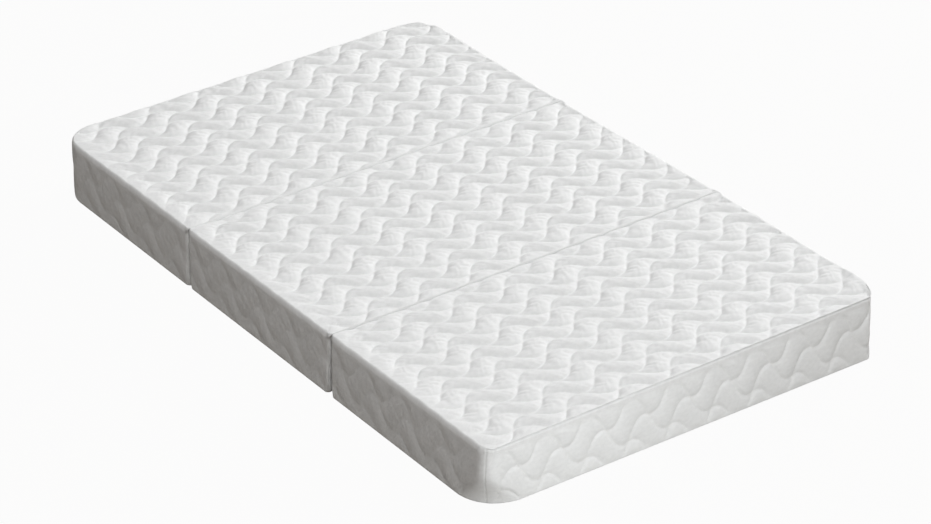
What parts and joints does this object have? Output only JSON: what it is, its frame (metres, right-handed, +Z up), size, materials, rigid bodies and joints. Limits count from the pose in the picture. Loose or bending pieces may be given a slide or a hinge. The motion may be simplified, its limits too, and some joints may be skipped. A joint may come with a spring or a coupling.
{
  "type": "tri-fold memory foam mattress",
  "caption": "Folding memory foam mattress in a white wave-quilted knit cover, in hinged panels with zips.",
  "frame": {"origin": "middle of the underside of the mattress lying flat and unfolded", "axes": "+X across the width towards the zips, +Y from the foot end to the head end, +Z up"},
  "size_m": [0.61, 0.965, 0.089],
  "materials": {
    "quilted_knit": "matte",
    "border_knit": "matte",
    "underside_knit": "matte",
    "hinge_knit": "matte",
    "fibre_wadding": "matte",
    "liner_knit": "matte",
    "memory_foam": "matte",
    "support_foam": "matte",
    "zip_tape": "matte",
    "zip_coil": "satin",
    "zip_metal": "satin"
  },
  "bodies": {
    "foot_panel": {"foot_support_foam": "support_foam", "foot_memory_foam": "memory_foam", "foot_foam_liner": "liner_knit", "foot_quilt_wadding": "fibre_wadding", "foot_quilt_face": "quilted_knit", "foot_bottom_cover": "underside_knit", "foot_left_border": "border_knit", "foot_right_border": "border_knit", "foot_zip_tapes": "zip_tape", "foot_zip_coil": "zip_coil", "foot_zip_stops": "zip_metal", "foot_end_border": "border_knit", "foot_fold_border": "border_knit", "foot_top_hinge_flange": "hinge_knit"},
    "middle_panel": {"middle_support_foam": "support_foam", "middle_memory_foam": "memory_foam", "middle_foam_liner": "liner_knit", "middle_quilt_wadding": "fibre_wadding", "middle_quilt_face": "quilted_knit", "middle_bottom_cover": "underside_knit", "middle_left_border": "border_knit", "middle_right_border": "border_knit", "middle_zip_tapes": "zip_tape", "middle_zip_coil": "zip_coil", "middle_zip_stops": "zip_metal", "middle_foot_fold_border": "border_knit", "middle_head_fold_border": "border_knit", "middle_top_hinge_flange": "hinge_knit", "middle_bottom_hinge_flange": "hinge_knit"},
    "head_panel": {"head_support_foam": "support_foam", "head_memory_foam": "memory_foam", "head_foam_liner": "liner_knit", "head_quilt_wadding": "fibre_wadding", "head_quilt_face": "quilted_knit", "head_bottom_cover": "underside_knit", "head_left_border": "border_knit", "head_right_border": "border_knit", "head_zip_tapes": "zip_tape", "head_zip_coil": "zip_coil", "head_zip_stops": "zip_metal", "head_fold_border": "border_knit", "head_end_border": "border_knit", "head_bottom_hinge_flange": "hinge_knit"},
    "foot_slider": {"foot_zip_slider": "zip_metal"},
    "foot_pull": {"foot_zip_pull": "zip_metal"},
    "middle_slider": {"middle_zip_slider": "zip_metal"},
    "middle_pull": {"middle_zip_pull": "zip_metal"},
    "head_slider": {"head_zip_slider": "zip_metal"},
    "head_pull": {"head_zip_pull": "zip_metal"}
  },
  "joints": [
    {"name": "middle_fold", "type": "hinge", "parent": "foot_panel", "child": "middle_panel", "pos_m": [0, -0.16133, 0.0895], "axis": [1, 0, 0], "range_deg": [0, 180]},
    {"name": "head_fold", "type": "hinge", "parent": "middle_panel", "child": "head_panel", "pos_m": [0, 0.16133, -0.0005], "axis": [-1, 0, 0], "range_deg": [0, 180]},
    {"name": "foot_zip_run", "type": "slide", "parent": "foot_panel", "child": "foot_slider", "axis": [0, -1, 0], "range_m": [0, 0.17187]},
    {"name": "foot_pull_swing", "type": "hinge", "parent": "foot_slider", "child": "foot_pull", "pos_m": [0.3028, -0.22863, 0.026], "axis": [0, 0, 1], "range_deg": [0, 150]},
    {"name": "middle_zip_run", "type": "slide", "parent": "middle_panel", "child": "middle_slider", "axis": [0, -1, 0], "range_m": [0, 0.17187]},
    {"name": "middle_pull_swing", "type": "hinge", "parent": "middle_slider", "child": "middle_pull", "pos_m": [0.3028, 0.09403, 0.026], "axis": [0, 0, 1], "range_deg": [0, 150]},
    {"name": "head_zip_run", "type": "slide", "parent": "head_panel", "child": "head_slider", "axis": [0, -1, 0], "range_m": [0, 0.17187]},
    {"name": "head_pull_swing", "type": "hinge", "parent": "head_slider", "child": "head_pull", "pos_m": [0.3028, 0.4167, 0.026], "axis": [0, 0, 1], "range_deg": [0, 150]}
  ]
}
